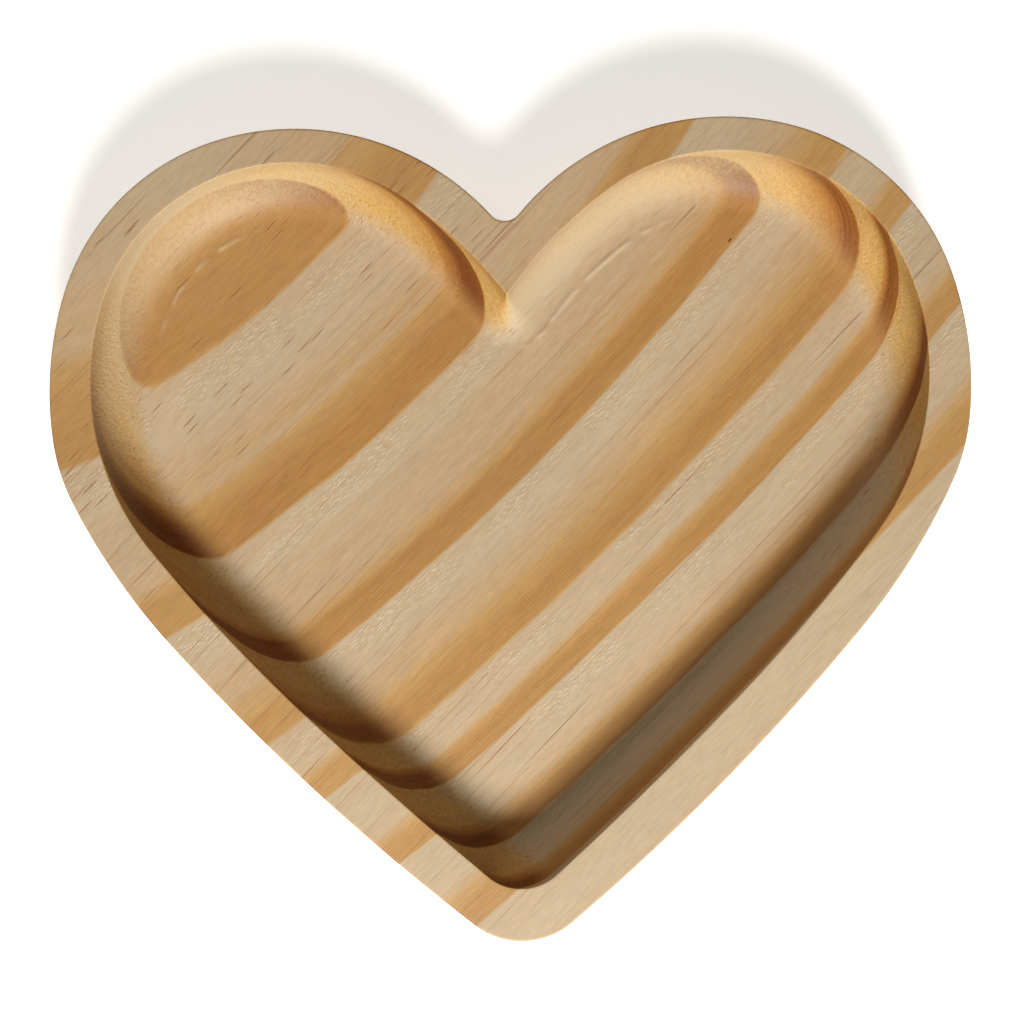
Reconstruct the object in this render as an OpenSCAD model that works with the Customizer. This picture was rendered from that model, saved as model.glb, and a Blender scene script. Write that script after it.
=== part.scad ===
// Heart-shaped tray, routed out of one solid pine board.
//
// Frame: +Z up, the board's underside on Z = 0, +Y from the heart's tip towards its notch, and the
// origin under the middle of the outline's box.
//
// Each outline is half a heart, drawn as a chain of arcs that run smoothly into each other. It
// starts on the middle line at the notch, heading along +X, and runs round one lobe to the tip. The
// other half is its mirror image. An arc is [radius, turn]: it turns right by that many degrees, or
// left where the radius is below zero. The arc that rounds the tip isn't listed: its radius is the
// one that brings the chain back to the middle line.

/* [Board] */
// Width of the tray, from lobe to lobe
tray_w = 200; // [150:5:260]
// Thickness of the board
board_t = 21; // [19:0.5:30]

/* [Pocket] */
// Depth of the pocket below the rim
pocket_d = 14; // [11:0.5:15]
// Radius of the cove that joins the pocket's wall to its floor
cove_r = 10; // [4:0.5:10]

/* [Outer outline, for a tray 200 wide] */
// Height of the notch above the drawing's origin
outer_notch_y = 61.5; // [60:0.5:63]
// Arcs: notch fillet, inner lobe, crown, shoulder, widest part, flank, side
outer_arcs = [[-4, 49], [58, 64], [50, 57], [74, 25], [44, 19], [145, 15], [510, 10]]; // mm and degrees

/* [Pocket outline, for a tray 200 wide] */
// Height of the pocket's notch above the drawing's origin
inner_notch_y = 45.5; // [44:0.5:47]
// Arcs: the notch's sharp arris, inner lobe, crown, shoulder, flank, side
inner_arcs = [[-0.5, 54], [94, 19], [43, 107], [58, 56], [370, 7], [810, 4]]; // mm and degrees

/* [Fineness] */
// Largest turn between two points on an outline, in degrees
edge_step = 6; // [4:1:9]
// Furthest that a straight stretch of an outline may lie from its true arc
edge_error = 0.04; // [0.03:0.01:0.1]
// Steps up the cove
cove_steps = 7; // [5:1:9]

/* [Hidden] */
pine = [0.86, 0.72, 0.5];

// How far the pocket's cutter stands above the board
overshoot = 1;

// An arc of a chain is kept as [centre, radius, heading at its start, heading at its end]. A point
// on it, or at an inset from it towards the middle of the heart, is found from its heading.
function right_of(heading) = [sin(heading), -cos(heading)];
function arc_point(arc, heading, inset = 0) = arc[0] - (arc[1] - inset) * right_of(heading);
function arc_end(arc) = arc_point(arc, arc[3]);

// The chain that starts at a point with a heading, and closes on the middle line at the tip
function chain(arcs, point, heading = 0, i = 0) =
    i == len(arcs)
    ? [tip_arc(point, heading)]
    : let (
        r = arcs[i][0],
        next = heading - sign(r) * arcs[i][1],
        arc = [point + r * right_of(heading), r, heading, next]
    )
    concat([arc], chain(arcs, arc_end(arc), next, i + 1));

function tip_arc(point, heading) =
    let (r = -point[0] / sin(heading))
    [point + r * right_of(heading), r, heading, -180];

// How far along an axis (0 for X, 1 for Y) an outline reaches, where it runs in a given direction
function reach(arcs, axis, heading) =
    max([for (a = arcs) if (a[1] > 0 && a[2] >= heading && heading >= a[3]) a[0][axis] + a[1]]);

drawn_outer = chain(outer_arcs, [0, outer_notch_y]);
drawn_inner = chain(inner_arcs, [0, inner_notch_y]);

// The drawing is brought to size, and moved so that its box is centred on the origin.
drawn_tip = drawn_outer[len(drawn_outer) - 1];
drawn_top = reach(drawn_outer, 1, 0);
size = tray_w / (2 * reach(drawn_outer, 0, -90));
centre_y = (drawn_top + drawn_tip[0][1] - drawn_tip[1]) / 2;

function placed(arcs) = [
    for (a = arcs) [size * (a[0] - [0, centre_y]), size * a[1], a[2], a[3]]
];

outer = placed(drawn_outer);
inner = placed(drawn_inner);
floor_z = board_t - pocket_d;
// The cove can't be wider than the pocket's rounded tip lets it be
cove = min(cove_r, 0.9 * inner[len(inner) - 1][1]);

// The headings at which an arc gets a point, after its start
function headings(arc) =
    let (
        turn = arc[3] - arc[2],
        step = min(edge_step, 2 * acos(1 - edge_error / max(1, abs(arc[1])))),
        n = ceil(abs(turn) / step)
    )
    [for (i = [1 : n]) arc[2] + turn * i / n];

// A whole outline at an inset from its chain, once round from the notch
function outline(arcs, inset = 0) =
    let (
        right = [for (a = arcs) for (h = headings(a)) arc_point(a, h, inset)],
        left = [for (i = [len(right) - 2 : -1 : 0]) [-right[i][0], right[i][1]]]
    )
    concat([arc_point(arcs[0], 0, inset)], right, left);

module board() {
    linear_extrude(board_t) polygon(outline(outer));
}

// The pocket's section, down the wall and round the cove: steps of [distance in, height]
section = concat(
    [[0, board_t + overshoot]],
    [
        for (i = [0 : cove_steps])
            let (a = 90 * i / cove_steps)
            [cove * (1 - cos(a)), floor_z + cove * (1 - sin(a))]
    ]
);

// The whole pocket as one solid, with a ring of points for each step of the section
module pocket() {
    rings = [for (s = section) [for (p = outline(inner, s[0])) [p[0], p[1], s[1]]]];
    n = len(rings[0]);
    last = (len(section) - 1) * n;
    skin = [
        for (a = [0 : n : last - n]) for (i = [0 : n - 1])
            let (j = (i + 1) % n)
            for (t = [[a + i, a + n + i, a + n + j], [a + i, a + n + j, a + j]]) t
    ];
    lid = [for (i = [0 : n - 1]) i];
    base = [for (i = [n - 1 : -1 : 0]) last + i];
    polyhedron([for (r = rings) each r], concat([lid, base], skin));
}

module heart_tray() {
    color(pine) difference() {
        board();
        pocket();
    }
}

heart_tray();
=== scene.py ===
"""Looks of the heart-shaped pine tray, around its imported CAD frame.

The tray is one node, which a finer mesh of the same outlines replaces: the edges are eased, the
cove is round, and the cove's foot is ragged in places. The pine is solid: its growth rings are
shells round a pith line that passes under the board, so each face shows its own figure.
"""

import math

import bpy
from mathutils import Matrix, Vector, geometry, noise


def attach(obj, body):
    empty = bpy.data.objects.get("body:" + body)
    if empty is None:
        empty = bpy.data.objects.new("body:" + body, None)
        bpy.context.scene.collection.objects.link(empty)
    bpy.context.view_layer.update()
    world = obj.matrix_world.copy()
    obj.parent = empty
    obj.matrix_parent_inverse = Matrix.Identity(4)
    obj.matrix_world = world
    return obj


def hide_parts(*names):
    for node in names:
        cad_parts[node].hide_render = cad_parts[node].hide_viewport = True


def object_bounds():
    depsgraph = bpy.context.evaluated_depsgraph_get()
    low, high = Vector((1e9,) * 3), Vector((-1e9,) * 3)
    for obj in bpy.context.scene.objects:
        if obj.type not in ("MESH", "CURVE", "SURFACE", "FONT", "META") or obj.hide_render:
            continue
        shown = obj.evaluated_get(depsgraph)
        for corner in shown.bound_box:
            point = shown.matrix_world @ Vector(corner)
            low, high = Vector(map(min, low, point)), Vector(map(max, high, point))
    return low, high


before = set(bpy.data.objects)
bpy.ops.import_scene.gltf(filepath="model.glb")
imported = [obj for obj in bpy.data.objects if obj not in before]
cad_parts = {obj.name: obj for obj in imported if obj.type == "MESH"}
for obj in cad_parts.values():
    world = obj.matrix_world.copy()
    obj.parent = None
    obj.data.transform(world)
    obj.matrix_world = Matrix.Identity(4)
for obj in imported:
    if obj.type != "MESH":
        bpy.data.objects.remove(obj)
cad_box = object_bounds()

MM = 0.001

# ---------------------------------------------------------------- camera

# The camera looks almost straight down on the tray, and a little off its middle.
CAMERA_PLACE = (1.6, 3.5, 300.3)  # mm
CAMERA_TURN = (0.15, 0.36, -1.52)  # degrees
CAMERA_LENS = 45.35  # mm, on a sensor 36 mm wide


def add_camera():
    camera = bpy.data.objects.new("camera", bpy.data.cameras.new("camera"))
    camera.data.lens = CAMERA_LENS
    camera.data.sensor_width = 36
    camera.data.clip_start = 0.01
    camera.location = Vector(CAMERA_PLACE) * MM
    camera.rotation_euler = [math.radians(a) for a in CAMERA_TURN]
    bpy.context.collection.objects.link(camera)
    bpy.context.scene.camera = camera


add_camera()

# ---------------------------------------------------------------- the tray's size, in mm

BOARD_T = 21.0
POCKET_D = 14.0
COVE_R = 10.0
FLOOR_Z = BOARD_T - POCKET_D

# Half of each outline, as the CAD draws it: where it starts on the middle line, and arcs of
# [radius, turn], which turn right, or left where the radius is below zero.
OUTER_START, OUTER_ARCS = 61.5, [
    (-4, 49), (58, 64), (50, 57), (74, 25), (44, 19), (145, 15), (510, 10)
]
INNER_START, INNER_ARCS = 45.5, [(-0.5, 54), (94, 19), (43, 107), (58, 56), (370, 7), (810, 4)]

POINT_GAP = 0.5  # between points along an outline


def right_of(heading):
    return Vector((math.sin(heading), -math.cos(heading)))


def chain(start, arcs):
    """The arcs of half an outline, each as (centre, radius, first heading, last heading)."""
    point, heading, out = Vector((0, start)), 0.0, []
    for radius, turn in arcs:
        centre = point + radius * right_of(heading)
        after = heading - math.copysign(math.radians(turn), radius)
        out.append((centre, radius, heading, after))
        point, heading = centre - radius * right_of(after), after
    radius = -point.x / math.sin(heading)
    out.append((point + radius * right_of(heading), radius, heading, -math.pi))
    return out


def reach(arcs, axis, heading):
    return max(c[axis] + r for c, r, a, b in arcs if r > 0 and a >= heading >= b)


def placed_chains():
    """Both chains, brought to the CAD's width and centred on its origin."""
    outer, inner = chain(OUTER_START, OUTER_ARCS), chain(INNER_START, INNER_ARCS)
    width = (cad_box[1][0] - cad_box[0][0]) / MM
    size = width / (2 * reach(outer, 0, -math.pi / 2))
    tip_centre, tip_radius = outer[-1][:2]
    middle = Vector((0, (reach(outer, 1, 0) + tip_centre.y - tip_radius) / 2))
    return [
        [(size * (c - middle), size * r, a, b) for c, r, a, b in arcs] for arcs in (outer, inner)
    ]


def path_lengths(arcs):
    """How long each arc is at the inset where it is longest, down in the cove."""
    return [abs(b - a) * max(abs(r), abs(r - COVE_R)) for _, r, a, b in arcs]


def stations(arcs, count):
    """Evenly spread places on a half outline, each as (centre, radius, heading)."""
    lengths = path_lengths(arcs)
    out = []
    for i in range(count + 1):
        k, way = 0, sum(lengths) * i / count
        while k < len(arcs) - 1 and way > lengths[k]:
            k, way = k + 1, way - lengths[k]
        centre, radius, a, b = arcs[k]
        out.append((centre, radius, a + (b - a) * min(1.0, way / lengths[k])))
    return out


def outline(half, inset=0.0):
    """Points once round an outline from the stations of its half, moved inwards."""
    right = [centre - (radius - inset) * right_of(heading) for centre, radius, heading in half]
    return right + [Vector((-p.x, p.y)) for p in reversed(right[1:-1])]


OUTER_CHAIN, INNER_CHAIN = placed_chains()
STATIONS = math.ceil(sum(path_lengths(INNER_CHAIN)) / POINT_GAP)
OUTER, INNER = stations(OUTER_CHAIN, STATIONS), stations(INNER_CHAIN, STATIONS)

# ---------------------------------------------------------------- wood

# The grain runs from the lower left to the upper right of the heart. Along it is v, across it is
# u, towards the lower right, and the pith runs below the board beyond its upper left.
GRAIN_ANGLE = math.radians(45)
V_AXIS = Vector((math.cos(GRAIN_ANGLE), math.sin(GRAIN_ANGLE), 0))
U_AXIS = Vector((math.sin(GRAIN_ANGLE), -math.cos(GRAIN_ANGLE), 0))
V_MIDDLE = 4.25  # mm along the grain, where the pith line's first values hold
PITH_U = (-138.2, 1.1, 7.7)  # mm: at the middle, then per 100 mm along the grain, then squared
PITH_Z = (-160.0, 2.4, -12.0)

# How much latewood there is at each distance from the pith, in mm: each ring darkens outwards and
# stops sharply. The inner and the outer rings each have a ramp, and share its end.
RINGS_START, RINGS_SPLIT, RINGS_END = 155, 216.5, 290
INNER_RINGS = [
    (158, 0.1), (162, 0.8), (162.3, 0.0), (169, 0.1), (172, 0.6), (175, 0.8),
    (178.2, 0.85), (178.5, 0.05),
    (182.5, 0.0), (185.5, 0.14), (187, 0.3), (188.3, 0.25), (189.3, 0.55), (191, 0.85),
    (192.5, 1.0), (195.2, 0.95), (195.5, 0.08), (199, 0.0), (200.3, 0.14), (205, 0.18),
    (206.8, 0.28), (207.8, 0.5), (208.8, 0.95), (212.1, 0.9), (212.4, 0.06), (216.5, 0.0),
]
OUTER_RINGS = [
    (216.5, 0.0), (219.2, 0.2), (221.5, 0.32), (223.5, 0.55), (225.8, 0.9), (228.4, 0.8),
    (228.7, 0.1),
    (231.5, 0.04), (233.8, 0.08), (235, 0.55), (236.2, 0.9), (238.6, 0.8), (238.9, 0.05),
    (243, 0.0), (246.5, 0.12), (248, 0.4), (249.2, 0.8), (250, 1.0), (252.1, 0.95), (252.4, 0.05),
    (256, 0.0), (259.5, 0.1), (261.5, 0.6), (263.5, 1.0), (266.3, 0.95), (266.6, 0.03),
    (274, 0.0), (279, 0.4), (281.2, 0.7), (281.5, 0.02), (290, 0.0),
]

KNOT = (-9.8, 81.8)  # mm across and along the grain
RIPPLE_GAP = 0.75  # mm along the grain
RIM_PALER = 0.75  # share of the latewood's tone that is left on the rim

# Where the soft wood just outside each ring's hard edge is torn
RING_EDGES = (178.5, 195.5, 212.4, 228.7, 238.9, 252.4)
TORN_RINGS = [
    stop for edge in RING_EDGES
    for stop in ((edge, 0.0), (edge + 0.5, 1.0), (edge + 2.2, 0.8), (edge + 4.5, 0.0))
]


class Graph:
    """Short calls for building a material's nodes."""

    def __init__(self, name):
        self.material = bpy.data.materials.new(name)
        self.material.use_nodes = True
        self.tree = self.material.node_tree
        self.tree.nodes.clear()

    def node(self, kind, inputs=(), **settings):
        n = self.tree.nodes.new("ShaderNode" + kind)
        for key, value in settings.items():
            setattr(n, key, value)
        for key, value in dict(inputs).items():
            self.feed(n.inputs[key], value)
        return n

    def feed(self, socket, value):
        if isinstance(value, bpy.types.NodeSocket):
            self.tree.links.new(value, socket)
        else:
            socket.default_value = value

    def math(self, operation, a, b=0.0, c=0.0, clamp=False):
        n = self.node("Math", {0: a, 1: b, 2: c}, operation=operation, use_clamp=clamp)
        return n.outputs[0]

    def add(self, a, b):
        return self.math("ADD", a, b)

    def mul(self, a, b):
        return self.math("MULTIPLY", a, b)

    def mul_add(self, a, b, c):
        return self.math("MULTIPLY_ADD", a, b, c)

    def vector(self, operation, a, b=(0, 0, 0)):
        return self.node("VectorMath", {0: a, 1: b}, operation=operation)

    def dot(self, a, b):
        return self.vector("DOT_PRODUCT", a, b).outputs["Value"]

    def combine(self, x, y, z):
        return self.node("CombineXYZ", {"X": x, "Y": y, "Z": z}).outputs[0]

    def step(self, value, low, high, to_low=0.0, to_high=1.0):
        """Smoothly from one value to another as the input goes from low to high."""
        inputs = {"Value": value, 1: low, 2: high, 3: to_low, 4: to_high}
        return self.node("MapRange", inputs, interpolation_type="SMOOTHSTEP").outputs[0]

    def noise(self, where, scale=1.0, detail=2.0, roughness=0.5):
        inputs = {"Vector": where, "Scale": scale, "Detail": detail, "Roughness": roughness}
        return self.node("TexNoise", inputs).outputs[0]

    def spots(self, where):
        """The distance to the nearest of many scattered points."""
        inputs = {"Vector": where, "Scale": 1.0, "Randomness": 1.0}
        return self.node("TexVoronoi", inputs, feature="F1").outputs["Distance"]

    def ramp(self, value, low, high, stops):
        """A ramp over a range, from (place, grey or colour) stops."""
        place = self.node("MapRange", {"Value": value, 1: low, 2: high}).outputs[0]
        n = self.node("ValToRGB", {"Fac": place})
        ramp = n.color_ramp
        while len(ramp.elements) > 1:
            ramp.elements.remove(ramp.elements[-1])
        for i, (at, tone) in enumerate(stops):
            where = (at - low) / (high - low)
            element = ramp.elements[0] if i == 0 else ramp.elements.new(where)
            element.position = where
            element.color = (tone, tone, tone, 1) if isinstance(tone, (int, float)) else tone
        return n.outputs["Color"]

    def mix(self, factor, a, b, blend="MIX"):
        n = self.node("Mix", {0: factor, 6: a, 7: b}, data_type="RGBA", blend_type=blend)
        return n.outputs[2]

    def bump(self, height, distance, strength=1.0, normal=None):
        inputs = {"Height": height, "Distance": distance, "Strength": strength}
        n = self.node("Bump", inputs)
        if normal is not None:
            self.feed(n.inputs["Normal"], normal)
        return n.outputs[0]


def srgb(r, g, b):
    """A colour given as 0 to 255 in sRGB, as linear light."""
    return tuple(((c / 255 + 0.055) / 1.055) ** 2.4 for c in (r, g, b)) + (1,)


EARLYWOOD = srgb(189, 168, 138)
MIDDLEWOOD = srgb(186, 146, 92)
LATEWOOD = srgb(170, 123, 68)
END_EARLYWOOD = srgb(198, 158, 90)
END_MIDDLEWOOD = srgb(170, 116, 54)
END_LATEWOOD = srgb(118, 64, 24)
# The pale colour of fuzz, and of a painted sheen on faces turned to the key lamp
FUZZ_AND_SHEEN = srgb(206, 186, 148)
CANAL = srgb(146, 88, 44)
TORN = srgb(218, 204, 182)
KNOT_COLOUR = srgb(60, 34, 18)


def wood_coordinates(g):
    """Sockets for u, v and z in mm, and for the distance from the pith."""
    place = g.node("TexCoord").outputs["Object"]
    place = g.vector("MULTIPLY", place, (1 / MM,) * 3).outputs[0]
    u, v = g.dot(place, tuple(U_AXIS)), g.dot(place, tuple(V_AXIS))
    z = g.dot(place, (0, 0, 1))
    w = g.mul(g.add(v, -V_MIDDLE), 0.01)
    pith_u, pith_z = [g.mul_add(g.mul_add(w, c[2], c[1]), w, c[0]) for c in (PITH_U, PITH_Z)]
    across = g.combine(g.math("SUBTRACT", u, pith_u), 0.0, g.math("SUBTRACT", z, pith_z))
    return u, v, z, g.vector("LENGTH", across).outputs["Value"]


def pine():
    g = Graph("pine")
    u, v, z, radius = wood_coordinates(g)

    # The rings waver a little along the grain.
    slow = g.noise(g.combine(g.mul(u, 0.05), g.mul(v, 0.018), g.mul(z, 0.05)), 1.0, 2.0)
    quick = g.noise(g.combine(g.mul(u, 0.5), g.mul(v, 0.06), g.mul(z, 0.5)), 1.0, 2.0)
    radius = g.add(radius, g.mul_add(slow, 1.2, -0.6))
    radius = g.add(radius, g.mul_add(quick, 0.4, -0.2))

    inner = g.ramp(radius, RINGS_START, RINGS_SPLIT, INNER_RINGS)
    outer = g.ramp(radius, RINGS_SPLIT, RINGS_END, OUTER_RINGS)
    late = g.math("MAXIMUM", inner, outer)
    # The rim is a little paler than the pocket.
    late = g.mul(late, g.step(z, BOARD_T - 0.5, BOARD_T - 0.05, 1.0, RIM_PALER))

    # Lines within each ring, each a fraction of a millimetre thick and as long as the board
    lines = g.noise(g.combine(g.mul(radius, 1.6), g.mul(v, 0.012), g.mul(u, 0.03)), 1.0, 4.0, 0.65)
    late = g.math("ADD", late, g.mul_add(lines, 0.45, -0.225), clamp=True)

    # End grain shows where a face looks along the grain: on the coves and outer edges there.
    surface = g.node("NewGeometry").outputs["Normal"]
    facing = g.math("ABSOLUTE", g.dot(surface, tuple(V_AXIS)))
    end = g.step(facing, 0.12, 0.65)

    side_colour = g.ramp(late, 0, 1, [(0, EARLYWOOD), (0.5, MIDDLEWOOD), (1, LATEWOOD)])
    end_colour = g.ramp(late, 0, 1, [(0, END_EARLYWOOD), (0.5, END_MIDDLEWOOD), (1, END_LATEWOOD)])
    colour = g.mix(end, side_colour, end_colour)

    # Fibres: fine streaks along the grain, hairs on the end grain, and patches of drifting tone
    fibre = g.noise(g.combine(g.mul(u, 1.8), g.mul(v, 0.22), g.mul(z, 1.8)), 1.0, 2.0, 0.7)
    hairs = g.noise(g.combine(g.mul(u, 1.8), g.mul(v, 1.5), g.mul(z, 0.6)), 1.0, 2.0, 0.7)
    drift = g.noise(g.combine(g.mul(u, 0.06), g.mul(v, 0.02), g.mul(z, 0.06)), 1.0, 2.0)
    tone = g.add(g.mul_add(fibre, 0.4, -0.2), g.mul_add(drift, 0.2, -0.1))
    tone = g.add(tone, g.mul(end, g.mul_add(hairs, 0.5, -0.25)))
    toned = g.vector("SCALE", colour)
    g.feed(toned.inputs["Scale"], g.add(tone, 1.0))
    colour = toned.outputs[0]

    # Resin canals: thin red-brown lines along the grain, crowded and short towards the pith
    long_cells = g.spots(g.combine(g.mul(u, 0.5), g.mul(v, 0.008), g.mul(z, 0.5)))
    short_cells = g.spots(g.combine(g.mul(u, 0.75), g.mul(v, 0.055), g.mul(z, 0.75)))
    crowd = g.step(u, -75.0, -15.0, 1.0, 0.1)
    short_canal = g.mul(g.step(short_cells, 0.07, 0.18, 1.0, 0.0), crowd)
    canal = g.math("MAXIMUM", g.step(long_cells, 0.03, 0.12, 0.9, 0.0), short_canal)
    streaks = g.noise(g.combine(g.mul(u, 1.7), g.mul(v, 0.012), g.mul(z, 1.7)), 1.0, 1.0)
    canal = g.math("MAXIMUM", canal, g.step(streaks, 0.62, 0.74, 0.0, 0.4))
    colour = g.mix(g.mul(canal, 0.75), colour, CANAL)

    # Torn grain: short pale flecks in the soft wood outside a ring's hard edge and on end grain
    patches = g.step(g.noise(g.combine(g.mul(u, 0.09), g.mul(v, 0.035), z), 1.0, 1.0), 0.42, 0.56)
    flecks = g.spots(g.combine(g.mul(u, 2.2), g.mul(v, 0.55), g.mul(z, 2.2)))
    torn = g.mul(g.ramp(radius, RINGS_START, RINGS_END, TORN_RINGS), patches)
    soft = g.step(late, 0.05, 0.4, 1.0, 0.0)
    torn = g.math("MAXIMUM", torn, g.mul(g.mul(end, soft), 0.3))
    torn = g.mul(g.step(flecks, 0.1, 0.55, 1.0, 0.0), torn)
    frayed = g.node("Attribute", attribute_name="frayed").outputs["Fac"]
    torn = g.math("MAXIMUM", torn, g.mul(frayed, 0.8))
    colour = g.mix(g.mul(torn, 0.5), colour, TORN)

    # Pale fuzz, and a painted sheen where the key lamp falls, on the coves that face the lower right,
    # on the upper left of each lobe
    lower_right = g.step(g.dot(surface, tuple(U_AXIS)), 0.15, 0.75)
    fuzz_and_sheen = g.mul(lower_right, g.step(hairs, 0.2, 0.8, 0.35, 0.7))
    colour = g.mix(fuzz_and_sheen, colour, FUZZ_AND_SHEEN)

    # A small dark knot in the right lobe
    to_knot = g.combine(g.mul(g.add(u, -KNOT[0]), 2.5), g.add(v, -KNOT[1]), 0.0)
    knot = g.step(g.vector("LENGTH", to_knot).outputs["Value"], 0.4, 0.7, 1.0, 0.0)
    colour = g.mix(g.mul(knot, 0.85), colour, KNOT_COLOUR)

    # Cutter ripples across the grain, in patches and clearest on the hard wood
    wander = g.noise(g.combine(g.mul(u, 0.25), g.mul(v, 0.2), 0.0), 1.0, 1.0)
    ripple = g.math("SINE", g.mul(g.mul_add(wander, 1.5, v), 2 * math.pi / RIPPLE_GAP))
    patchy = g.step(g.noise(g.combine(g.mul(u, 0.1), g.mul(v, 0.05), 0.0)), 0.4, 0.6)
    ripple = g.mul(ripple, g.mul(late, patchy))
    colour = g.mix(1.0, colour, g.ramp(ripple, -1, 1, [(-1, 0.95), (1, 1.0)]), "MULTIPLY")

    normal = g.bump(fibre, 0.00008, 0.5)
    normal = g.bump(g.mul(end, hairs), 0.0003, 0.5, normal)
    normal = g.bump(g.mul(canal, -1.0), 0.00006, 0.5, normal)
    normal = g.bump(torn, 0.00012, 0.7, normal)
    normal = g.bump(ripple, 0.00001, 1.0, normal)

    roughness = g.mul_add(fibre, 0.15, g.mul_add(late, -0.1, 0.52))
    shader = g.node(
        "BsdfPrincipled",
        {"Base Color": colour, "Roughness": roughness, "Normal": normal, "Specular IOR Level": 0.35,
         "Subsurface Weight": 0.15, "Subsurface Radius": (1.0, 0.45, 0.2), "Subsurface Scale": 0.0015},
    )
    output = g.node("OutputMaterial")
    g.tree.links.new(shader.outputs[0], output.inputs["Surface"])
    return g.material


# ---------------------------------------------------------------- the tray's mesh

BURR = 0.3  # mm, height of the ragged crest at the cove's foot before noise varies it
EASE = 0.5  # radius of the board's eased outer edges
ARRIS = 0.25  # radius left on the pocket's edge
FOOT_INSETS = (0.35, 0.8)  # of the two floor loops next to the cove, from its foot
FLOOR_GRID = 0.8
UNDER_GRID = 4.0
RIM_STEPS = 8
ROW_GAP = 0.866  # between the rows of a grid of even triangles, for a point gap of 1


def quarter(radius, steps):
    """(sine, 1 - cosine) pairs of a quarter turn, both times the radius."""
    turns = [math.pi / 2 * i / steps for i in range(steps + 1)]
    return [(radius * math.sin(t), radius * (1 - math.cos(t))) for t in turns]


def board_section():
    """(inset, height) from the edge of the underside up the outer wall to the rim."""
    up = [(EASE - a, b) for a, b in quarter(EASE, 4)]
    wall = [(0, EASE + 0.4), (0, 4), (0, 8), (0, 12.5), (0, 17), (0, BOARD_T - EASE - 0.4)]
    over = [(b, BOARD_T - EASE + a) for a, b in quarter(EASE, 4)]
    return [(EASE + 0.3, 0)] + up + wall + over + [(EASE + 0.3, BOARD_T)]


def pocket_section():
    """(inset, height) from the rim down the pocket's wall and round the cove to its floor."""
    edge = [(a - ARRIS, BOARD_T - b) for a, b in quarter(ARRIS, 3)]
    top = FLOOR_Z + COVE_R
    wall = [(0, BOARD_T - ARRIS - 0.3), (0, (BOARD_T + top) / 2), (0, top + 0.4)]
    cove = [(b, top - a) for a, b in quarter(COVE_R, 26)]
    return [(-ARRIS - 0.3, BOARD_T)] + edge + wall + cove


class Shell:
    """Vertices and faces, gathered in mm."""

    def __init__(self):
        self.points, self.faces, self.frayed = [], [], {}

    def loop(self, flat, height):
        start = len(self.points)
        self.points += [Vector((p.x, p.y, height)) for p in flat]
        return list(range(start, len(self.points)))

    def fray(self, loop, share):
        """Raises a ragged crest along the part of a loop on its upper left side."""
        for k, i in enumerate(loop):
            p = self.points[i]
            along = (self.points[loop[(k + 1) % len(loop)]] - self.points[loop[k - 1]]).normalized()
            upper_left = -Vector((-along.y, along.x, 0)).dot(U_AXIS)
            near = min(1.0, max(0.0, (upper_left - 0.85) / 0.1))
            ragged = max(0.0, noise.noise(p * 0.35) + 0.6)
            self.frayed[i] = share * near * min(1.0, 1.4 * ragged)
            self.points[i] = p + Vector((0, 0, BURR * share * near * ragged))

    def join(self, a, b):
        """Faces between two loops with the same number of points."""
        n = len(a)
        self.faces += [(b[i], a[i], a[(i + 1) % n], b[(i + 1) % n]) for i in range(n)]

    def fill(self, loop, gap, up):
        """Triangles inside a flat loop, over a grid of new points."""
        rim = [self.points[i].to_2d() for i in loop]
        height = self.points[loop[0]].z
        inside = grid_inside(rim, gap)
        flat, _, faces, origin, _, _ = geometry.delaunay_2d_cdt(
            rim + inside, [], [list(range(len(rim)))], 1, 1e-6
        )
        index = {}
        for i, p in enumerate(flat):
            if origin[i] and origin[i][0] < len(rim):
                index[i] = loop[origin[i][0]]
            else:
                index[i] = len(self.points)
                self.points.append(Vector((p.x, p.y, height)))
        for f in faces:
            a, b, c = [flat[i] for i in f]
            rises = (b - a).cross(c - a) > 0
            corners = [index[i] for i in f]
            self.faces.append(corners if rises == up else corners[::-1])


def grid_inside(rim, gap):
    """Points of a staggered grid inside a loop, no nearer to it than half a step."""
    xs, ys = [p.x for p in rim], [p.y for p in rim]
    rows = math.ceil((max(ys) - min(ys)) / (gap * ROW_GAP))
    out = []
    for row in range(rows):
        y = min(ys) + (row + 0.5) * gap * ROW_GAP
        cuts = []
        for a, b in zip(rim, rim[1:] + rim[:1]):
            if (a.y > y) != (b.y > y):
                cuts.append(a.x + (y - a.y) * (b.x - a.x) / (b.y - a.y))
        cuts.sort()
        for left, right in zip(cuts[::2], cuts[1::2]):
            count = max(0, math.floor((right - left - gap) / gap))
            shift = gap * (0.5 if row % 2 else 1.0) * 0.5
            out += [Vector((left + gap * 0.5 + shift + i * gap, y)) for i in range(count)]
    return out


def shape_tray():
    shell = Shell()
    board = [shell.loop(outline(OUTER, inset), z) for inset, z in board_section()]
    pocket = [shell.loop(outline(INNER, inset), z) for inset, z in pocket_section()]
    for loops in (board, pocket):
        for a, b in zip(loops, loops[1:]):
            shell.join(b, a)
    shell.fill(board[0], UNDER_GRID, False)
    foot = [shell.loop(outline(INNER, COVE_R + inset), FLOOR_Z) for inset in FOOT_INSETS]
    shell.join(foot[0], pocket[-1])
    shell.join(foot[1], foot[0])
    shell.fray(pocket[-1], 1.0)
    shell.fray(foot[0], 0.5)
    shell.fill(foot[1], FLOOR_GRID, True)
    # The rim, in loops that go evenly from the outer edge to the pocket's edge
    outside, inside = [[shell.points[i].to_2d() for i in loop] for loop in (board[-1], pocket[0])]
    last = board[-1]
    for k in range(1, RIM_STEPS):
        flat = [a.lerp(b, k / RIM_STEPS) for a, b in zip(outside, inside)]
        loop = shell.loop(flat, BOARD_T)
        shell.join(loop, last)
        last = loop
    shell.join(pocket[0], last)
    return shell


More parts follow.
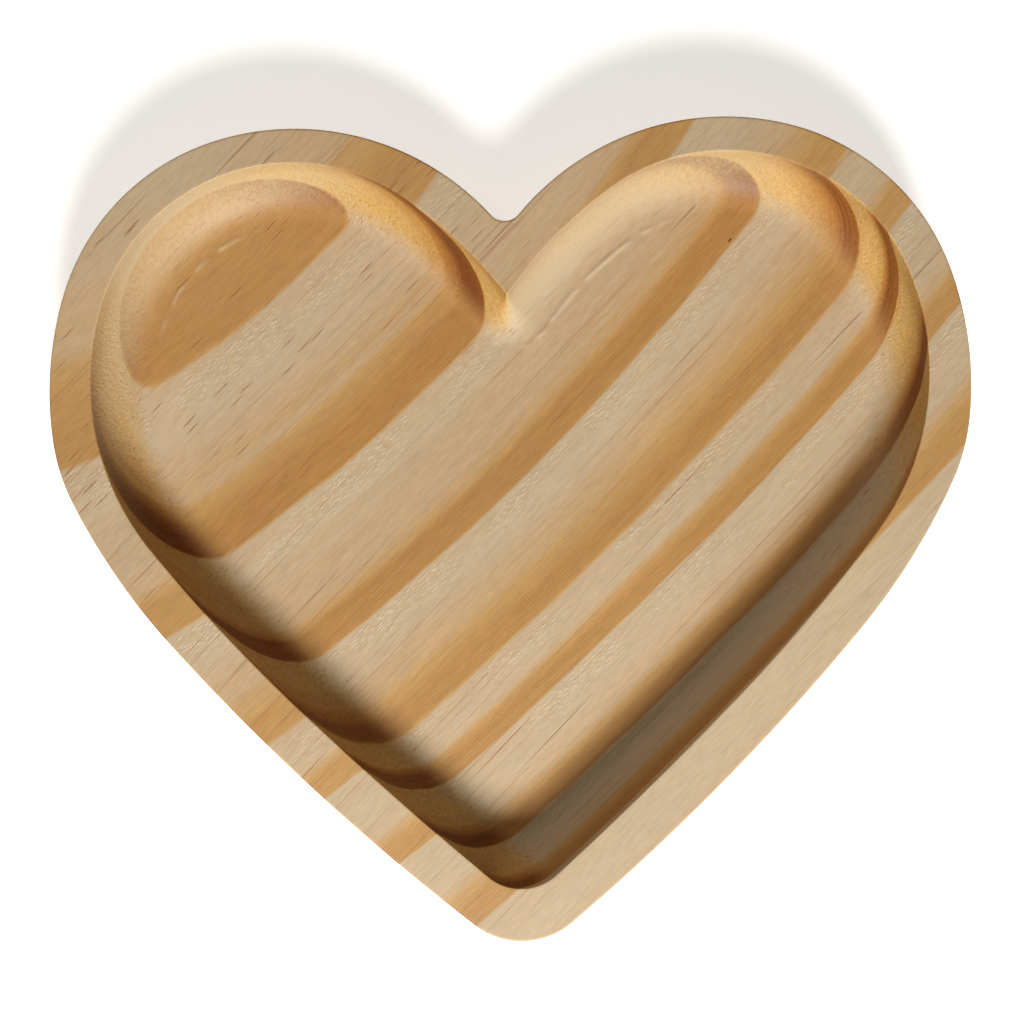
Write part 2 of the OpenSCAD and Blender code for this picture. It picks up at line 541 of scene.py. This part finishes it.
def tray():
    shell = shape_tray()
    mesh = bpy.data.meshes.new("pine_tray")
    mesh.from_pydata([p * MM for p in shell.points], [], shell.faces)
    frayed = mesh.attributes.new("frayed", "FLOAT", "POINT")
    frayed.data.foreach_set("value", [shell.frayed.get(i, 0.0) for i in range(len(shell.points))])
    mesh.polygons.foreach_set("use_smooth", [True] * len(mesh.polygons))
    mesh.update()
    ob = bpy.data.objects.new("pine_tray", mesh)
    bpy.context.collection.objects.link(ob)
    ob.data.materials.append(pine())
    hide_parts("heart_tray")
    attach(ob, "root")


tray()

# ---------------------------------------------------------------- floor and light

FLOOR_R, WALL_BEND, WALL_TOP = 1.8, 0.6, 1.0  # m


def pale_floor():
    """White and faintly lit from below under the tray, and grey further out."""
    g = Graph("pale_floor")
    place = g.node("TexCoord").outputs["Object"]
    away = g.step(g.vector("LENGTH", place).outputs["Value"], 0.7, 2.0)
    grain = g.mul_add(g.noise(place, 900.0, 3.0), 0.04, 0.83)
    tone = g.mul(grain, g.mul_add(away, -0.6, 1.0))
    shader = g.node(
        "BsdfPrincipled",
        {"Base Color": g.combine(tone, tone, tone), "Roughness": 0.7, "Specular IOR Level": 0.2,
         "Emission Color": (1, 1, 1, 1), "Emission Strength": g.mul_add(away, -0.45, 0.55)},
    )
    output = g.node("OutputMaterial")
    g.tree.links.new(shader.outputs[0], output.inputs["Surface"])
    return g.material


def add_floor():
    """A round floor, with a low wall a long way out that it curves up into."""
    bends = [math.pi / 2 * i / 10 for i in range(11)]
    section = [(FLOOR_R + WALL_BEND * math.sin(t), WALL_BEND * (1 - math.cos(t))) for t in bends]
    section.append((FLOOR_R + WALL_BEND, WALL_TOP))
    spokes = [2 * math.pi * i / 96 for i in range(96)]
    points = [(0, 0, 0)]
    points += [(r * math.cos(t), r * math.sin(t), z) for r, z in section for t in spokes]
    n = len(spokes)
    faces = [(0, i + 1, (i + 1) % n + 1) for i in range(n)]
    for ring in range(len(section) - 1):
        a, b = 1 + ring * n, 1 + (ring + 1) * n
        faces += [(a + i, b + i, b + (i + 1) % n, a + (i + 1) % n) for i in range(n)]
    mesh = bpy.data.meshes.new("floor")
    mesh.from_pydata(points, [], faces)
    mesh.polygons.foreach_set("use_smooth", [True] * len(mesh.polygons))
    ob = bpy.data.objects.new("floor", mesh)
    bpy.context.collection.objects.link(ob)
    ob.data.materials.append(pale_floor())


def add_lamp(name, azimuth, elevation, distance, size, power, colour):
    """A round lamp that faces the tray, from a compass direction and a height in degrees."""
    data = bpy.data.lights.new(name, "AREA")
    data.shape = "DISK"
    data.size = size
    data.energy = power
    data.color = colour
    lamp = bpy.data.objects.new(name, data)
    a, e = math.radians(azimuth), math.radians(elevation)
    away = Vector((math.sin(a) * math.cos(e), math.cos(a) * math.cos(e), math.sin(e)))
    lamp.location = away * distance
    lamp.rotation_euler = (-lamp.location).to_track_quat("-Z", "Y").to_euler()
    bpy.context.collection.objects.link(lamp)


def add_light():
    add_lamp("key", 172, 40, distance=0.9, size=0.28, power=11.8, colour=(1.0, 0.985, 0.955))
    add_lamp("fill", 315, 50, distance=1.2, size=0.8, power=3.9, colour=(1.0, 0.88, 0.74))
    world = bpy.data.worlds.new("soft_room")
    world.use_nodes = True
    background = world.node_tree.nodes["Background"]
    background.inputs["Color"].default_value = (1, 0.985, 0.96, 1)
    background.inputs["Strength"].default_value = 0.015
    bpy.context.scene.world = world
    bpy.context.scene.view_settings.view_transform = "Standard"


add_floor()
add_light()
